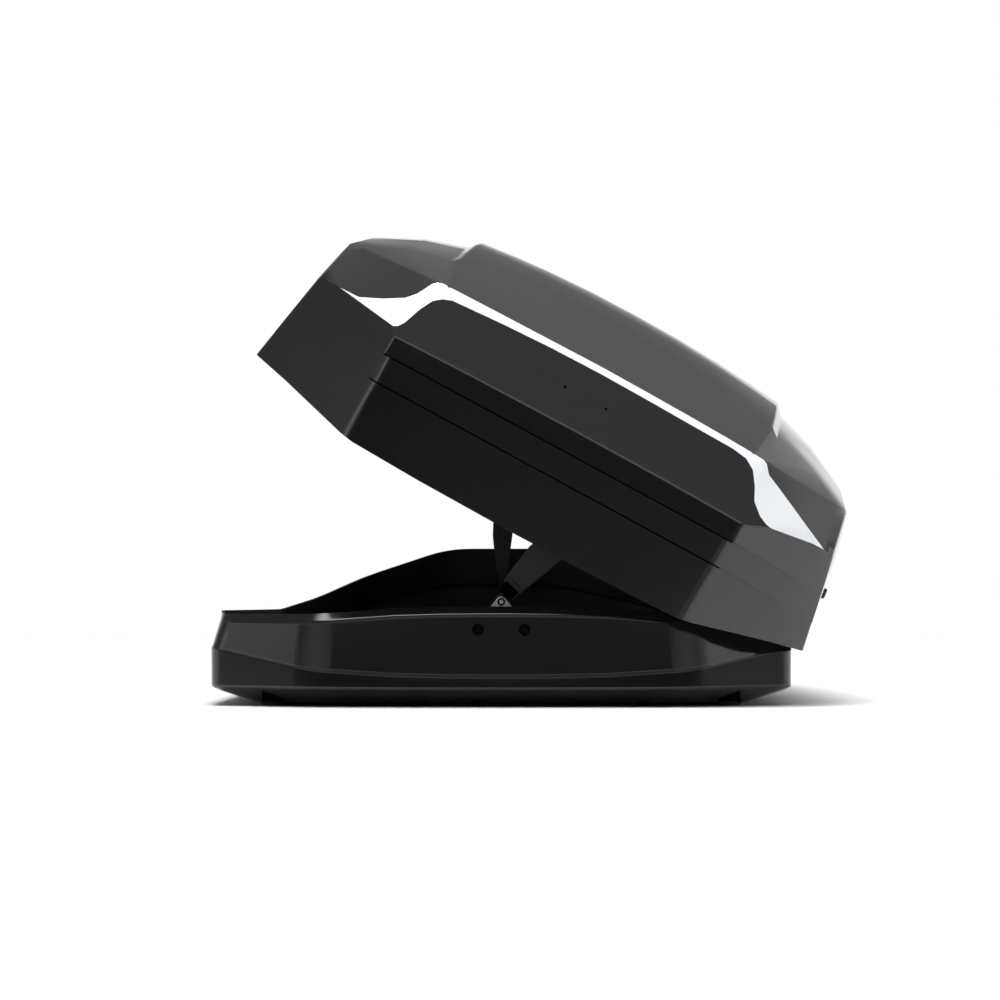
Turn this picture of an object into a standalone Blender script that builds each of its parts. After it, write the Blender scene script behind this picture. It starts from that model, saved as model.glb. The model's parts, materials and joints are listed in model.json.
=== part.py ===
"""Roof cargo box with a lid that opens to either side, standing open on its right-hand hinge.

Metres, +X to the right seen from behind, +Y towards the nose, +Z up.
The origin is the centre of the flat underside of the base's ribs.
Lid parts are drawn in the closed position and hang from one pivot empty.
"""

import math

import bmesh
import bpy
from mathutils import Vector

# Lid opening and the two hinge lines
OPEN_ANGLE = math.radians(28.5)
HINGE_X = 0.400
HINGE_Z = 0.113
BAR_RADIUS = 0.005
BAR_ENDS = (-0.60, 0.50)
STRIP_ENDS = (-0.57, 0.44)
LOCK_BAR_ENDS = (-0.54, 0.43)

# Shells
BASE_WALL = 0.004
LID_WALL = 0.003
RIB_DEPTH = 0.004
RIBS = ((0.037, 0.035), (0.120, 0.040), (0.200, 0.028), (0.325, 0.034))
RIB_ENDS = (-0.93, 0.50)

# Lifter linkage
PIN_Z = 0.147
PIN_RADIUS = 0.004
STRUT_LENGTH = 0.250
RIGHT_ANGLE = math.radians(45.0)
LEFT_ANGLE = math.radians(87.0)
RIGHT_REACH = 0.1393
LEFT_REACH = 0.1666
STRUT_PITCH = 0.026
REAR_LIFTER_Y = -0.852
FRONT_LIFTER_Y = 0.640
ROLLER_RADIUS = 0.006
GAP = 0.0003

# Hinge fittings, measured from the hinge line, outwards and up
SADDLES = (-0.45, -0.02, 0.38)
SADDLE_LENGTH = 0.060
SADDLE_INNER = 0.0054
SADDLE_OUTER = 0.0080
CLAW_INNER = 0.0086
CLAW_OUTER = 0.0116
CLAW_LENGTH = 0.014
KNUCKLE_LENGTH = 0.025

# Locks
LOCK_Y = -0.50
LOCK_Z = 0.202
LOCK_X = 0.4406
LOCK_TILT = math.radians(6.0)

# Bolts through the sloping rear wall
BOLT_X = 0.0325
BOLT_Y = -1.0643
BOLT_Z = 0.107
BOLT_HOLE = 0.0043
WALL_SLOPE = math.radians(10.0)

# Clamps and floor rails
RAIL_X = 0.200
RAIL_ENDS = (-0.72, 0.48)
CLAMPS_Y = (-0.46, 0.32)
FLOOR_Z = RIB_DEPTH + BASE_WALL

SEGMENTS = 24


def clear_scene():
    for obj in list(bpy.data.objects):
        bpy.data.objects.remove(obj, do_unlink=True)


def new_collection(name):
    collection = bpy.data.collections.new(name)
    bpy.context.scene.collection.children.link(collection)
    return collection


def material(name, color, roughness, metallic=0.0):
    mat = bpy.data.materials.new(name)
    mat.use_nodes = True
    shader = mat.node_tree.nodes["Principled BSDF"]
    shader.inputs["Base Color"].default_value = (*color, 1.0)
    shader.inputs["Roughness"].default_value = roughness
    shader.inputs["Metallic"].default_value = metallic
    mat.diffuse_color = (*color, 1.0)
    return mat


clear_scene()
PARTS = new_collection("roof_cargo_box")
CUTTERS = new_collection("cutters")

GLOSS_BLACK = material("gloss_black_shell", (0.012, 0.012, 0.014), 0.12)
BASE_BLACK = material("textured_black_base", (0.02, 0.02, 0.021), 0.45)
STEEL = material("zinc_steel", (0.62, 0.63, 0.65), 0.35, 1.0)
DARK_STEEL = material("black_steel", (0.03, 0.03, 0.032), 0.4, 0.6)
ALUMINIUM = material("aluminium_rail", (0.70, 0.71, 0.72), 0.3, 1.0)
COVER = material("strut_cover", (0.035, 0.040, 0.050), 0.35)
NYLON = material("black_nylon", (0.022, 0.022, 0.024), 0.5)
CHROME = material("lock_chrome", (0.75, 0.75, 0.76), 0.15, 1.0)
GREY_GRIP = material("grey_grip", (0.16, 0.165, 0.17), 0.5)


# ---------------------------------------------------------------- helpers


def place(obj, mat, collection, parent=None, location=(0, 0, 0), rotation=(0, 0, 0)):
    if mat is not None:
        obj.data.materials.append(mat)
    collection.objects.link(obj)
    obj.parent = parent
    obj.location = location
    obj.rotation_euler = rotation
    return obj


def mesh_object(name, verts, faces):
    data = bpy.data.meshes.new(name)
    data.from_pydata([tuple(v) for v in verts], [], faces)
    data.update()
    return bpy.data.objects.new(name, data)


def recalculated(obj):
    mesh = bmesh.new()
    mesh.from_mesh(obj.data)
    bmesh.ops.recalc_face_normals(mesh, faces=mesh.faces)
    mesh.to_mesh(obj.data)
    mesh.free()
    return obj


def boxes(name, spans):
    """One mesh of axis-aligned boxes that do not touch each other."""
    mesh = bmesh.new()
    for low, high in spans:
        low = Vector(low)
        high = Vector(high)
        made = bmesh.ops.create_cube(mesh, size=1.0)["verts"]
        bmesh.ops.scale(mesh, vec=high - low, verts=made)
        bmesh.ops.translate(mesh, vec=(high + low) / 2, verts=made)
    data = bpy.data.meshes.new(name)
    mesh.to_mesh(data)
    mesh.free()
    return bpy.data.objects.new(name, data)


def rods(name, specs, segments=SEGMENTS):
    """One mesh of separate cylinders: start point, end point, radius."""
    mesh = bmesh.new()
    for start, end, radius in specs:
        start = Vector(start)
        end = Vector(end)
        made = bmesh.ops.create_cone(
            mesh, cap_ends=True, segments=segments, radius1=radius, radius2=radius,
            depth=(end - start).length,
        )["verts"]
        turn = Vector((0, 0, 1)).rotation_difference(end - start).to_matrix()
        bmesh.ops.rotate(mesh, cent=(0, 0, 0), matrix=turn, verts=made)
        bmesh.ops.translate(mesh, vec=(start + end) / 2, verts=made)
    data = bpy.data.meshes.new(name)
    mesh.to_mesh(data)
    mesh.free()
    data.shade_smooth()
    data.set_sharp_from_angle(angle=math.radians(32))
    return bpy.data.objects.new(name, data)


def turned(name, profile, segments=SEGMENTS, flip=False):
    """A solid of revolution about the object's X axis from (x, radius) points."""
    data = bpy.data.meshes.new(name)
    data.from_pydata([(x, r, 0) for x, r in profile], [(i, i + 1) for i in range(len(profile) - 1)], [])
    obj = bpy.data.objects.new(name, data)
    screw = obj.modifiers.new("turn", "SCREW")
    screw.axis = "X"
    screw.angle = math.tau
    screw.steps = segments
    screw.render_steps = segments
    screw.use_merge_vertices = True
    screw.merge_threshold = 0.00005
    screw.use_normal_calculate = True
    screw.use_normal_flip = flip
    return obj


def prism(name, outline, thickness):
    """A flat outline in the XZ plane, given a thickness along Y on both sides of y."""
    obj = mesh_object(name, outline, [tuple(range(len(outline)))])
    solid = obj.modifiers.new("thickness", "SOLIDIFY")
    solid.thickness = thickness
    solid.offset = 0.0
    return obj


def combine(obj, other, operation):
    """Join or cut obj with another solid that stays editable as a cutter."""
    other.hide_render = True
    other.display_type = "WIRE"
    step = obj.modifiers.new(operation.lower(), "BOOLEAN")
    step.operation = operation
    step.solver = "EXACT"
    step.object = other
    return obj


def cutter(obj, like):
    """Put a helper solid in the cutter collection on the same axes as its part."""
    return place(obj, None, CUTTERS, like.parent, like.location, like.rotation_euler)


def rounded(obj, width, segments=1, angle=math.radians(30)):
    bevel = obj.modifiers.new("edges", "BEVEL")
    bevel.width = width
    bevel.segments = segments
    bevel.limit_method = "ANGLE"
    bevel.angle_limit = angle
    bevel.use_clamp_overlap = True
    return obj


def arc(radius, start, end, steps):
    turn = [math.radians(start + (end - start) * i / steps) for i in range(steps + 1)]
    return [(radius * math.cos(t), radius * math.sin(t)) for t in turn]


def empty(name, location, rotation):
    obj = bpy.data.objects.new(name, None)
    PARTS.objects.link(obj)
    obj.location = location
    obj.rotation_euler = rotation
    return obj


# ---------------------------------------------------------------- shells

# Closed lid, right half: y of the station, then (x, z) of the lower edge, side crest,
# outer shoulder, inner shoulder, plateau corner and centre line.
LID_STATIONS = (
    (-0.800, (0.4484, 0.0990), (0.432, 0.255), (0.419, 0.312), (0.272, 0.360), (0.262, 0.370), (0.0, 0.3735)),
    (-0.550, (0.4509, 0.1035), (0.434, 0.262), (0.404, 0.350), (0.275, 0.4125), (0.262, 0.4285), (0.0, 0.444)),
    (-0.100, (0.4505, 0.1080), (0.434, 0.268), (0.404, 0.358), (0.279, 0.418), (0.265, 0.433), (0.0, 0.448)),
    (0.450, (0.4474, 0.1170), (0.430, 0.262), (0.392, 0.340), (0.262, 0.396), (0.248, 0.409), (0.0, 0.424)),
    (0.720, (0.4069, 0.1340), (0.388, 0.250), (0.350, 0.312), (0.245, 0.356), (0.232, 0.366), (0.0, 0.380)),
    (0.920, (0.3274, 0.1650), (0.308, 0.240), (0.275, 0.278), (0.180, 0.306), (0.168, 0.313), (0.0, 0.324)),
    (1.005, (0.2040, 0.2000), (0.190, 0.240), (0.168, 0.257), (0.120, 0.272), (0.110, 0.276), (0.0, 0.284)),
)
# Rear of the lid, right half, from the centre line outwards
LID_REAR_EDGE = ((0.0, -1.085, 0.043), (0.150, -1.085, 0.0445), (0.277, -1.083, 0.050))
LID_REAR_LOW = ((0.0, -1.077, 0.137), (0.150, -1.077, 0.137), (0.274, -1.075, 0.137))
LID_REAR_MID = ((0.0, -1.073, 0.178), (0.150, -1.073, 0.178), (0.274, -1.071, 0.178))
LID_REAR_CREASE = ((0.0, -1.067, 0.211), (0.150, -1.067, 0.211), (0.278, -1.064, 0.214))
LID_BAND_LOW = ((0.0, -1.034, 0.301), (0.150, -1.035, 0.296), (0.240, -1.036, 0.290), (0.264, -1.046, 0.270))
LID_CORNER = ((0.441, -0.980, 0.093), (0.418, -0.962, 0.237), (0.403, -0.966, 0.236))
LID_BAND_TOP = ((0.281, -0.998, 0.280), (0.261, -1.004, 0.307), (0.150, -1.008, 0.3095),
                (0.0, -1.012, 0.3115))


def from_hinge(points):
    """Closed-position coordinates to coordinates from the right hinge line."""
    return [(x - HINGE_X, y, z - HINGE_Z) for x, y, z in points]


def lid_surface():
    """Vertices and faces of the whole outer skin, mirrored about the centre plane."""
    index = {}
    verts = []
    faces = []

    def vertex(point):
        key = tuple(round(c, 6) for c in point)
        if key not in index:
            index[key] = len(verts)
            verts.append(key)
        return index[key]

    def face(*points):
        faces.append([vertex(p) for p in points])
        flipped = [(-x, y, z) for x, y, z in reversed(points)]
        faces.append([vertex(p) for p in flipped])

    first = list(LID_CORNER) + list(LID_BAND_TOP)
    rows = [first]
    for y, *pairs in LID_STATIONS:
        row = [(x, y, z) for x, z in pairs]
        middle = [(row[4][0] * 0.57, y, row[5][2] - (row[5][2] - row[4][2]) * 0.32)]
        rows.append(row[:5] + middle + row[5:])
    for near, far in zip(rows, rows[1:]):
        for i in range(6):
            face(near[i], far[i], far[i + 1], near[i + 1])
    for low, high in ((LID_REAR_EDGE, LID_REAR_LOW), (LID_REAR_LOW, LID_REAR_MID),
                      (LID_REAR_MID, LID_REAR_CREASE)):
        for i in range(2):
            face(low[i], low[i + 1], high[i + 1], high[i])
    band = LID_BAND_LOW
    top = LID_BAND_TOP
    crease = LID_REAR_CREASE
    face(crease[0], crease[1], band[1], band[0])
    face(crease[1], crease[2], band[3], band[2], band[1])
    face(band[0], band[1], top[2], top[3])
    face(band[1], band[2], top[1], top[2])
    face(band[2], band[3], top[0], top[1])
    face(band[3], crease[2], top[0])
    face(crease[2], LID_CORNER[2], top[0])
    face(crease[2], LID_CORNER[1], LID_CORNER[2])
    corner = LID_CORNER[0]
    face(LID_REAR_EDGE[2], corner, LID_REAR_LOW[2])
    face(LID_REAR_LOW[2], corner, LID_REAR_MID[2])
    face(LID_REAR_MID[2], corner, LID_CORNER[1], crease[2])
    last = rows[-1]
    mirrored = [(-x, y, z) for x, y, z in reversed(last[:6])]
    faces.append([vertex(p) for p in reversed(last + mirrored)])
    return verts, faces


def lid_shell(pivot):
    verts, faces = lid_surface()
    obj = recalculated(mesh_object("lid_shell", from_hinge(verts), faces))
    rounded(obj, 0.004, 1, math.radians(12))
    solid = obj.modifiers.new("wall", "SOLIDIFY")
    solid.thickness = LID_WALL
    solid.offset = -1.0
    solid.use_even_offset = True
    place(obj, GLOSS_BLACK, PARTS, pivot)
    for side in (1, -1):
        centre, outward = lock_frame(side)
        hole = rods(f"lock_hole_{side}", [(centre - outward * 0.02, centre + outward * 0.02, 0.0124)])
        cutter(hole, obj)
        combine(obj, hole, "DIFFERENCE")
    return obj


# Base, right half of each ring, from the rear centre line to the nose: x, y, z
BASE_BOTTOM = ((0.0, -1.020), (0.150, -1.020), (0.245, -1.020), (0.353, -0.940), (0.358, -0.800),
               (0.360, -0.100), (0.350, 0.500), (0.280, 0.680), (0.190, 0.760), (0.070, 0.790))
BASE_CHINE = ((0.0, -1.075, 0.025), (0.150, -1.075, 0.025), (0.268, -1.074, 0.026), (0.408, -0.972, 0.026),
              (0.418, -0.800, 0.026), (0.420, -0.100, 0.026), (0.416, 0.520, 0.030), (0.352, 0.740, 0.052),
              (0.262, 0.910, 0.100), (0.100, 0.975, 0.140))
BASE_LIP = ((0.0, -1.076, 0.0405), (0.150, -1.076, 0.042), (0.268, -1.075, 0.049), (0.412, -0.972, 0.080),
            (0.424, -0.800, 0.085), (0.425, -0.100, 0.093), (0.421, 0.520, 0.102), (0.366, 0.740, 0.118),
            (0.280, 0.925, 0.150), (0.110, 0.992, 0.188))
BASE_SHELF = ((0.0, -1.0749, 0.0465), (0.150, -1.0749, 0.0480), (0.268, -1.0739, 0.0550),
              (0.4095, -0.970, 0.0875), (0.4125, -0.800, 0.0885), (0.4125, -0.100, 0.0965),
              (0.4125, 0.520, 0.1055), (0.354, 0.735, 0.1215), (0.272, 0.913, 0.1535),
              (0.108, 0.978, 0.1915))
BASE_FOLD = ((0.0, -1.0605, 0.128), (0.150, -1.0605, 0.128), (0.263, -1.0595, 0.128), (0.400, -0.963, 0.128),
             (0.4125, -0.800, 0.128), (0.4125, -0.100, 0.128), (0.4125, 0.520, 0.130), (0.356, 0.735, 0.153),
             (0.270, 0.906, 0.196), (0.106, 0.970, 0.252))
BASE_RIM = ((0.0, -1.0490, 0.1395), (0.150, -1.0490, 0.1395), (0.258, -1.0485, 0.1395),
            (0.398, -0.962, 0.137), (0.4125, -0.800, 0.137), (0.4125, -0.100, 0.137),
            (0.4125, 0.520, 0.139), (0.356, 0.735, 0.162), (0.270, 0.905, 0.205), (0.106, 0.968, 0.261))


def full_ring(half):
    return list(half) + [(-x, y, z) for x, y, z in reversed(half[1:])]


def base_shell():
    bottom = [(x, y, RIB_DEPTH) for x, y in BASE_BOTTOM]
    rings = [full_ring(r) for r in (bottom, BASE_CHINE, BASE_LIP, BASE_SHELF, BASE_FOLD, BASE_RIM)]
    count = len(rings[0])
    verts = [p for ring in rings for p in ring]
    faces = [tuple(reversed(range(count)))]
    for level in range(len(rings) - 1):
        for i in range(count):
            j = (i + 1) % count
            a = level * count
            faces.append((a + i, a + j, a + count + j, a + count + i))
    obj = recalculated(mesh_object("base_shell", verts, faces))
    rounded(obj, 0.003, 1, math.radians(15))
    solid = obj.modifiers.new("wall", "SOLIDIFY")
    solid.thickness = BASE_WALL
    solid.offset = -1.0
    solid.use_even_offset = True
    place(obj, BASE_BLACK, PARTS)
    spans = []
    for x, width in RIBS:
        for side in (1, -1):
            low = (side * x - width / 2, RIB_ENDS[0], 0.0)
            high = (side * x + width / 2, RIB_ENDS[1], RIB_DEPTH + 0.002)
            spans.append((low, high))
    spans.append(((-0.0150, -0.060, 0.0), (0.0150, 0.060, RIB_DEPTH + 0.002)))
    ribs = boxes("base_ribs", spans)
    cutter(ribs, obj)
    combine(obj, ribs, "UNION")
    holes = rods("bolt_holes", [((s * BOLT_X, -1.08, BOLT_Z), (s * BOLT_X, -1.03, BOLT_Z), BOLT_HOLE)
                                for s in (1, -1)])
    cutter(holes, obj)
    combine(obj, holes, "DIFFERENCE")
    return obj


# ---------------------------------------------------------------- hinges and locks


def hinge_bar(name, mat, pivot, side):
    """Round bar on one hinge line; its origin is on that line."""
    obj = rods(name, [((0, BAR_ENDS[0], 0), (0, BAR_ENDS[1], 0), BAR_RADIUS)])
    x = HINGE_X * side - HINGE_X
    return place(obj, mat, PARTS, pivot, (x, 0, 0))


def catch_rail(name, side):
    """Rail screwed inside the base wall, with upward open saddles for the bar."""
    plate_outline = [(0.0062, 0, -0.052), (0.0082, 0, -0.052), (0.0082, 0, -0.010), (0.0062, 0, -0.010)]
    middle = (BAR_ENDS[0] + BAR_ENDS[1]) / 2
    obj = prism(name, [(side * x, middle, z) for x, y, z in plate_outline], BAR_ENDS[1] - BAR_ENDS[0])
    recalculated(obj)
    place(obj, DARK_STEEL, PARTS, None, (side * HINGE_X, 0, HINGE_Z))
    section = [(SADDLE_OUTER, 0.0), (SADDLE_OUTER, -0.0140), (0.0045, -0.0140)]
    section += arc(SADDLE_OUTER, -56, -180, 8) + arc(SADDLE_INNER, -180, 0, 10)
    for number, y in enumerate(SADDLES):
        saddle = prism(f"{name}_saddle_{number}", [(side * x, y, z) for x, z in section], SADDLE_LENGTH)
        recalculated(saddle)
        cutter(saddle, obj)
        combine(obj, saddle, "UNION")
    return obj


def lid_hinge(name, pivot, side):
    """Strip on the lid's inner wall with knuckles that reach over the rim to the bar."""
    strip = [(0.0375, 0.027), (0.0405, 0.027), (0.0380, 0.052), (0.0350, 0.052)]
    length = STRIP_ENDS[1] - STRIP_ENDS[0]
    middle = (STRIP_ENDS[0] + STRIP_ENDS[1]) / 2
    obj = prism(name, [(side * x, middle, z) for x, z in strip], length)
    recalculated(obj)
    x = HINGE_X * side - HINGE_X
    place(obj, STEEL, PARTS, pivot, (x, 0, 0))
    arm = arc(0.0080, 110, -190, 20)
    arm += [(-0.0140, 0.004), (-0.0140, 0.046), (0.0370, 0.046), (0.0370, 0.040), (-0.0080, 0.040),
            (-0.0080, 0.009)]
    for number, y in enumerate(SADDLES):
        at = y - SADDLE_LENGTH / 2 - 0.0075 - KNUCKLE_LENGTH / 2
        knuckle = prism(f"{name}_knuckle_{number}", [(side * x, at, z) for x, z in arm], KNUCKLE_LENGTH)
        recalculated(knuckle)
        cutter(knuckle, obj)
        combine(obj, knuckle, "UNION")
    bore = rods(f"{name}_bore", [((0, BAR_ENDS[0], 0), (0, BAR_ENDS[1], 0), SADDLE_INNER)])
    cutter(bore, obj)
    combine(obj, bore, "DIFFERENCE")
    return obj


def lock_bar(name, pivot, side):
    """Sliding strip with claws that turn round the saddles when it is pushed home."""
    low = (min(side * 0.0325, side * 0.0350), LOCK_BAR_ENDS[0], 0.0560)
    high = (max(side * 0.0325, side * 0.0350), LOCK_BAR_ENDS[1], 0.0700)
    obj = boxes(name, [(low, high)])
    x = HINGE_X * side - HINGE_X
    place(obj, DARK_STEEL, PARTS, pivot, (x, 0, 0))
    claw = arc(CLAW_OUTER, 140, 250, 10) + arc(CLAW_INNER, 250, 120, 10)
    claw += [(-0.0050, 0.012), (-0.0110, 0.020), (-0.0110, 0.0580), (0.0335, 0.0580), (0.0335, 0.0620),
             (-0.0150, 0.0620), (-0.0150, 0.012)]
    for number, y in enumerate(SADDLES):
        at = y + SADDLE_LENGTH / 2 + 0.002 + CLAW_LENGTH / 2
        hook = prism(f"{name}_claw_{number}", [(side * x, at, z) for x, z in claw], CLAW_LENGTH)
        recalculated(hook)
        cutter(hook, obj)
        combine(obj, hook, "UNION")
    return obj


def lock_frame(side):
    """Centre of a lock on the closed lid's side, from the right hinge, and its outward axis."""
    centre = Vector((side * LOCK_X - HINGE_X, LOCK_Y, LOCK_Z - HINGE_Z))
    outward = Vector((side * math.cos(LOCK_TILT), 0, math.sin(LOCK_TILT)))
    return centre, outward


def lock_rotation(side):
    return (0, -LOCK_TILT if side > 0 else math.pi + LOCK_TILT, 0)


def lock_plate(name, pivot, side):
    profile = [(0.0003, 0.0126), (0.0003, 0.0310), (0.0040, 0.0310), (0.0062, 0.0285), (0.0062, 0.0126),
               (0.0003, 0.0126)]
    obj = turned(name, profile, 32)
    return place(obj, NYLON, PARTS, pivot, lock_frame(side)[0], lock_rotation(side))


def lock_knob(name, pivot, side):
    """Turning grip with its spindle through the lid wall and a driving disc inside."""
    profile = [(-0.0110, 0.0), (-0.0110, 0.0180), (-0.0070, 0.0180), (-0.0070, 0.0120), (0.0066, 0.0120),
               (0.0066, 0.0240), (0.0110, 0.0240), (0.0130, 0.0215), (0.0130, 0.0)]
    obj = turned(name, profile, 32, True)
    place(obj, NYLON, PARTS, pivot, lock_frame(side)[0], lock_rotation(side))
    grip = rounded(boxes(f"{name}_grip", [((0.0100, -0.0205, -0.0080), (0.0300, 0.0205, 0.0080))]), 0.002, 2)
    cutter(grip, obj)
    combine(obj, grip, "UNION")
    socket = rods(f"{name}_socket", [((0.0200, 0, 0), (0.0400, 0, 0), 0.0063)])
    cutter(socket, obj)
    combine(obj, socket, "DIFFERENCE")
    return obj


def key_cylinder(name, pivot, side):
    obj = rods(name, [((0.0203, 0, 0), (0.0312, 0, 0), 0.0060)])
    place(obj, CHROME, PARTS, pivot, lock_frame(side)[0], lock_rotation(side))
    slot = boxes(f"{name}_slot", [((0.0290, -0.0008, -0.0036), (0.0330, 0.0008, 0.0036))])
    cutter(slot, obj)
    combine(obj, slot, "DIFFERENCE")
    return obj


def grab_handle(name, pivot, side):
    """Pull handle on the lid's inner wall: a bowed grip between two feet."""
    y0 = 0.060
    path = [(0.0385, y0, 0.080), (0.0180, y0 + 0.012, 0.068), (0.0140, y0 + 0.060, 0.066),
            (0.0180, y0 + 0.108, 0.068), (0.0385, y0 + 0.120, 0.080)]
    curve = bpy.data.curves.new(name, "CURVE")
    curve.dimensions = "3D"
    spline = curve.splines.new("POLY")
    spline.points.add(len(path) - 1)
    for point, (x, y, z) in zip(spline.points, path):
        point.co = (side * (x - 0.006), y, z, 1.0)
    curve.bevel_depth = 0.005
    curve.bevel_resolution = 2
    curve.use_fill_caps = True
    obj = bpy.data.objects.new(name, curve)
    x = HINGE_X * side - HINGE_X
    return place(obj, GREY_GRIP, PARTS, pivot, (x, 0, 0))


# ---------------------------------------------------------------- lifters


def lifter_bracket(name, y_mid, towards_wall):
    """Bent steel bracket: foot on the floor, post, shelf and two ears for the pin."""
    post = 0.0370
    foot = FLOOR_Z + GAP
    profile = [(post - 0.003, 0.1315), (post - 0.003, foot), (post + 0.040, foot),
               (post + 0.040, foot + 0.003), (post, foot + 0.003), (post, 0.1345)]
    if towards_wall:
        reach = 1.0570 + y_mid
        step = 1.0400 + y_mid
        profile += [(-step, 0.1345), (-step, 0.1220), (-reach, 0.1220), (-reach, 0.1190),
                    (0.003 - step, 0.1190), (0.003 - step, 0.1315)]
    else:
        reach = 0.0800
        profile += [(-reach, 0.1345), (-reach, 0.1315)]
    obj = mesh_object(name, [(0, y, z) for y, z in profile], [tuple(range(len(profile)))])
    solid = obj.modifiers.new("width", "SOLIDIFY")
    solid.thickness = 0.0290
    solid.offset = 0.0
    place(obj, STEEL, PARTS, None, (0, y_mid, 0))
    ear = [(-0.0150, 0.1335), (0.0150, 0.1335)] + [(x, z + PIN_Z) for x, z in arc(0.0072, 35, 145, 8)]
    for number, offset in enumerate((-0.0330, 0.0330)):
        solid = recalculated(prism(f"{name}_ear_{number}", [(x, offset, z) for x, z in ear], 0.004))
        cutter(solid, obj)
        combine(obj, solid, "UNION")
    if towards_wall:
        flange = boxes(f"{name}_flange", [((-0.0460, -reach, 0.0920), (0.0460, -reach + 0.003, 0.1210))])
    else:
        flange = boxes(f"{name}_flange", [((-0.0130, -reach, foot), (0.0130, -reach + 0.003, 0.1330))])
    cutter(flange, obj)
    combine(obj, flange, "UNION")
    drill = [((0, -0.05, PIN_Z), (0, 0.05, PIN_Z), PIN_RADIUS + GAP)]
    if towards_wall:
        for x in (BOLT_X, -BOLT_X):
            hole = Vector((x, -reach, BOLT_Z - 0.001))
            drill.append((hole - Vector((0, 0.01, 0)), hole + Vector((0, 0.01, 0)), BOLT_HOLE))
    holes = rods(f"{name}_holes", drill)
    cutter(holes, obj)
    combine(obj, holes, "DIFFERENCE")
    return obj


def lifter_pin(name, y_mid):
    obj = rods(name, [((0, -0.0400, 0), (0, 0.0400, 0), PIN_RADIUS)])
    place(obj, STEEL, PARTS, None, (0, y_mid, PIN_Z))
    head = rods(f"{name}_head", [((0, -0.0385, 0), (0, -0.0353, 0), 0.0062)])
    cutter(head, obj)
    combine(obj, head, "UNION")
    return obj


def strut_place(side, y_mid, reach):
    """Location and rotation of a strut part pushed out by reach along its own axis."""
    angle = RIGHT_ANGLE if side > 0 else LEFT_ANGLE
    y = y_mid - STRUT_PITCH / 2 if side > 0 else y_mid + STRUT_PITCH / 2
    location = (reach * math.cos(angle), y, PIN_Z + reach * math.sin(angle))
    return location, (0, -angle, 0)


def strut_sleeve(name, side, y_mid):
    """Pinned knuckle with the wide tapered cover; the lower half of the telescope."""
    if side > 0:
        outline = [(0.0290, -0.0112), (0.0240, 0.0200), (0.0850, 0.0280), (0.2320, 0.0215), (0.2320, -0.0190),
                   (0.1000, -0.0180)]
        neck = [(x, z) for x, z in arc(0.0110, 60, 300, 16)] + [(0.0310, -0.0105), (0.0275, 0.0175)]
    else:
        outline = [(0.0400, -0.0035), (0.0400, 0.0055), (0.0455, 0.0088), (0.0580, 0.0117),
                   (0.0960, 0.0175), (0.2320, 0.0190), (0.2320, -0.0160), (0.0960, -0.0111),
                   (0.0580, -0.0079), (0.0455, -0.0072)]
        neck = [(x, z) for x, z in arc(0.0088, 40, 320, 16)] + [(0.0420, -0.0050), (0.0420, 0.0056)]
    obj = recalculated(prism(name, [(x, 0, z) for x, z in outline], 0.0150))
    location, rotation = strut_place(side, y_mid, 0.0)
    place(obj, COVER, PARTS, None, location, rotation)
    solid = recalculated(prism(f"{name}_neck", [(x, 0, z) for x, z in neck], 0.0110))
    cutter(solid, obj)
    combine(obj, solid, "UNION")
    cavity = boxes(f"{name}_cavity", [((0.0430, -0.0058, -0.0063), (0.2500, 0.0058, 0.0063))])
    cutter(cavity, obj)
    combine(obj, cavity, "DIFFERENCE")
    bore = rods(f"{name}_bore", [((0, -0.02, 0), (0, 0.02, 0), PIN_RADIUS + GAP)])
    cutter(bore, obj)
    combine(obj, bore, "DIFFERENCE")
    return obj


def strut_tube(name, side, y_mid):
    """Square middle tube of the telescope."""
    obj = boxes(name, [((0.0440, -0.0055, -0.0060), (0.2380, 0.0055, 0.0060))])
    reach = RIGHT_REACH if side > 0 else LEFT_REACH
    location, rotation = strut_place(side, y_mid, reach)
    place(obj, DARK_STEEL, PARTS, None, location, rotation)
    cavity = boxes(f"{name}_cavity", [((0.0300, -0.0040, -0.0045), (0.2500, 0.0040, 0.0045))])
    cutter(cavity, obj)
    combine(obj, cavity, "DIFFERENCE")
    return obj


def strut_rod(name, side, y_mid):
    """Inner rod with the roller that rides in the lid's crosswise track."""
    obj = boxes(name, [((0.0460, -0.0037, -0.0042), (STRUT_LENGTH, 0.0037, 0.0042))])
    reach = RIGHT_REACH if side > 0 else LEFT_REACH
    location, rotation = strut_place(side, y_mid, reach)
    place(obj, STEEL, PARTS, None, location, rotation)
    roller = rods(f"{name}_roller", [((STRUT_LENGTH, -0.0080, 0), (STRUT_LENGTH, 0.0080, 0), ROLLER_RADIUS)])
    cutter(roller, obj)
    combine(obj, roller, "UNION")
    return obj


def lid_track(name, pivot, y_mid, tops):
    """Crosswise channel, open downwards, with walls carried up to the lid's ceiling."""
    web = 0.3370
    inner = 0.0245
    outer = inner + 0.0025
    low = 0.3140
    profile = [(-outer, low), (-inner, low), (-inner, web), (inner, web), (inner, low), (outer, low),
               (outer, tops[1]), (inner, tops[1]), (inner, web + 0.0025), (-inner, web + 0.0025),
               (-inner, tops[0]), (-outer, tops[0])]
    verts = [(-HINGE_X, y_mid + y, z - HINGE_Z) for y, z in profile]
    obj = mesh_object(name, verts, [tuple(range(len(verts)))])
    solid = obj.modifiers.new("length", "SOLIDIFY")
    solid.thickness = 0.4200
    solid.offset = 0.0
    return place(obj, ALUMINIUM, PARTS, pivot)


# ---------------------------------------------------------------- fixings and clamps


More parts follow.
